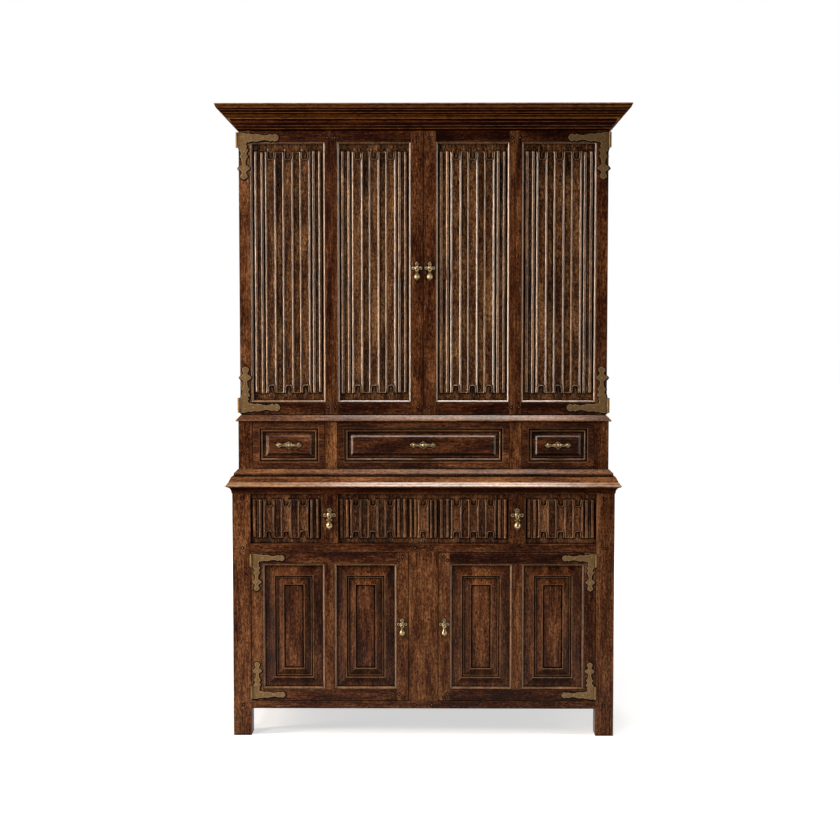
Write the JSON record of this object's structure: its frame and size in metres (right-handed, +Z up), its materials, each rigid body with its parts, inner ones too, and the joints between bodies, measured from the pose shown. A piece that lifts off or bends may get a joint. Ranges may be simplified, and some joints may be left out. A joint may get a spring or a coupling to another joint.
{
  "type": "television cabinet",
  "caption": "Two-part oak television cabinet with bi-fold linenfold doors, a row of drawers, a carved frieze with drawers and panelled cupboards on legs.",
  "frame": {"origin": "on the floor under the middle of the cabinet", "axes": "+X to the right as seen from the front, +Y towards the back, +Z up"},
  "size_m": [1.468, 0.645, 2.261],
  "materials": {
    "dark_oak": "dark stained, distressed and waxed oak",
    "carved_oak": "dark stained, carved and waxed oak",
    "inner_oak": "plain oak, lightly oiled",
    "aged_brass": "aged and patinated brass"
  },
  "bodies": {
    "carcass": {"base_legs": "dark_oak", "base_sides": "dark_oak", "base_front_frame": "dark_oak", "frieze_block": "carved_oak", "base_back": "inner_oak", "base_floor": "inner_oak", "drawer_bed": "inner_oak", "base_partition": "inner_oak", "base_shelves": "inner_oak", "base_top": "dark_oak", "upper_sides": "dark_oak", "upper_top_board": "inner_oak", "cornice": "dark_oak", "tv_deck": "inner_oak", "upper_bottom_board": "inner_oak", "upper_back": "inner_oak", "waist_mouldings": "dark_oak", "drawer_row_frame": "dark_oak", "drawer_row_runners": "inner_oak", "fixed_hinge_leaves": "aged_brass", "hinge_pins": "aged_brass"},
    "left_outer_leaf": {"left_outer_leaf_frame": "dark_oak", "left_outer_leaf_panel": "carved_oak", "left_outer_leaf_hinges": "aged_brass"},
    "left_inner_leaf": {"left_inner_leaf_frame": "dark_oak", "left_inner_leaf_panel": "carved_oak", "left_inner_leaf_brass": "aged_brass"},
    "left_door_pull": {"left_door_drop": "aged_brass"},
    "left_base_door": {"left_base_door_frame": "dark_oak", "left_base_door_panels": "carved_oak", "left_base_door_brass": "aged_brass"},
    "left_base_door_pull": {"left_base_door_drop": "aged_brass"},
    "left_frieze_drawer": {"left_frieze_front": "carved_oak", "left_frieze_box": "inner_oak", "left_frieze_plate": "aged_brass"},
    "left_frieze_pull": {"left_frieze_drop": "aged_brass"},
    "right_outer_leaf": {"right_outer_leaf_frame": "dark_oak", "right_outer_leaf_panel": "carved_oak", "right_outer_leaf_hinges": "aged_brass"},
    "right_inner_leaf": {"right_inner_leaf_frame": "dark_oak", "right_inner_leaf_panel": "carved_oak", "right_inner_leaf_brass": "aged_brass"},
    "right_door_pull": {"right_door_drop": "aged_brass"},
    "right_base_door": {"right_base_door_frame": "dark_oak", "right_base_door_panels": "carved_oak", "right_base_door_brass": "aged_brass"},
    "right_base_door_pull": {"right_base_door_drop": "aged_brass"},
    "right_frieze_drawer": {"right_frieze_front": "carved_oak", "right_frieze_box": "inner_oak", "right_frieze_plate": "aged_brass"},
    "right_frieze_pull": {"right_frieze_drop": "aged_brass"},
    "left_row_drawer": {"left_row_front": "carved_oak", "left_row_box": "inner_oak", "left_row_pull": "aged_brass"},
    "centre_row_drawer": {"centre_row_front": "carved_oak", "centre_row_box": "inner_oak", "centre_row_pull": "aged_brass"},
    "right_row_drawer": {"right_row_front": "carved_oak", "right_row_box": "inner_oak", "right_row_pull": "aged_brass"}
  },
  "joints": [
    {"name": "left_outer_leaf_hinge", "type": "hinge", "parent": "carcass", "child": "left_outer_leaf", "pos_m": [-0.6645, -0.2475, 1.6695], "axis": [0, 0, -1], "range_deg": [0, 270]},
    {"name": "left_inner_leaf_hinge", "type": "hinge", "parent": "left_outer_leaf", "child": "left_inner_leaf", "pos_m": [-0.3295, -0.2201, 1.6695], "axis": [0, 0, -1], "range_deg": [-180, 0]},
    {"name": "left_door_pull_hinge", "type": "hinge", "parent": "left_inner_leaf", "child": "left_door_pull", "pos_m": [-0.023, -0.2589, 1.688], "axis": [-1, 0, 0], "range_deg": [0, 80]},
    {"name": "left_base_door_hinge", "type": "hinge", "parent": "carcass", "child": "left_base_door", "pos_m": [-0.6208, -0.2818, 0.3985], "axis": [0, 0, -1], "range_deg": [0, 170]},
    {"name": "left_base_door_pull_hinge", "type": "hinge", "parent": "left_base_door", "child": "left_base_door_pull", "pos_m": [-0.0759, -0.2889, 0.4074], "axis": [-1, 0, 0], "range_deg": [0, 80]},
    {"name": "left_frieze_drawer_slide", "type": "slide", "parent": "carcass", "child": "left_frieze_drawer", "axis": [0, -1, 0], "range_m": [0, 0.38]},
    {"name": "left_frieze_pull_hinge", "type": "hinge", "parent": "left_frieze_drawer", "child": "left_frieze_pull", "pos_m": [-0.33725, -0.2894, 0.8035], "axis": [-1, 0, 0], "range_deg": [0, 80]},
    {"name": "right_outer_leaf_hinge", "type": "hinge", "parent": "carcass", "child": "right_outer_leaf", "pos_m": [0.6645, -0.2475, 1.6695], "axis": [0, 0, 1], "range_deg": [0, 270]},
    {"name": "right_inner_leaf_hinge", "type": "hinge", "parent": "right_outer_leaf", "child": "right_inner_leaf", "pos_m": [0.3295, -0.2201, 1.6695], "axis": [0, 0, 1], "range_deg": [-180, 0]},
    {"name": "right_door_pull_hinge", "type": "hinge", "parent": "right_inner_leaf", "child": "right_door_pull", "pos_m": [0.023, -0.2589, 1.688], "axis": [-1, 0, 0], "range_deg": [0, 80]},
    {"name": "right_base_door_hinge", "type": "hinge", "parent": "carcass", "child": "right_base_door", "pos_m": [0.6208, -0.2818, 0.3985], "axis": [0, 0, 1], "range_deg": [0, 170]},
    {"name": "right_base_door_pull_hinge", "type": "hinge", "parent": "right_base_door", "child": "right_base_door_pull", "pos_m": [0.0759, -0.2889, 0.4074], "axis": [-1, 0, 0], "range_deg": [0, 80]},
    {"name": "right_frieze_drawer_slide", "type": "slide", "parent": "carcass", "child": "right_frieze_drawer", "axis": [0, -1, 0], "range_m": [0, 0.38]},
    {"name": "right_frieze_pull_hinge", "type": "hinge", "parent": "right_frieze_drawer", "child": "right_frieze_pull", "pos_m": [0.33725, -0.2894, 0.8035], "axis": [-1, 0, 0], "range_deg": [0, 80]},
    {"name": "left_row_drawer_slide", "type": "slide", "parent": "carcass", "child": "left_row_drawer", "axis": [0, -1, 0], "range_m": [0, 0.36]},
    {"name": "centre_row_drawer_slide", "type": "slide", "parent": "carcass", "child": "centre_row_drawer", "axis": [0, -1, 0], "range_m": [0, 0.36]},
    {"name": "right_row_drawer_slide", "type": "slide", "parent": "carcass", "child": "right_row_drawer", "axis": [0, -1, 0], "range_m": [0, 0.36]}
  ],
  "couplings": [
    {"joint": "left_inner_leaf_hinge", "follows": "left_outer_leaf_hinge", "ratio": -0.6665},
    {"joint": "right_inner_leaf_hinge", "follows": "right_outer_leaf_hinge", "ratio": -0.6665}
  ]
}
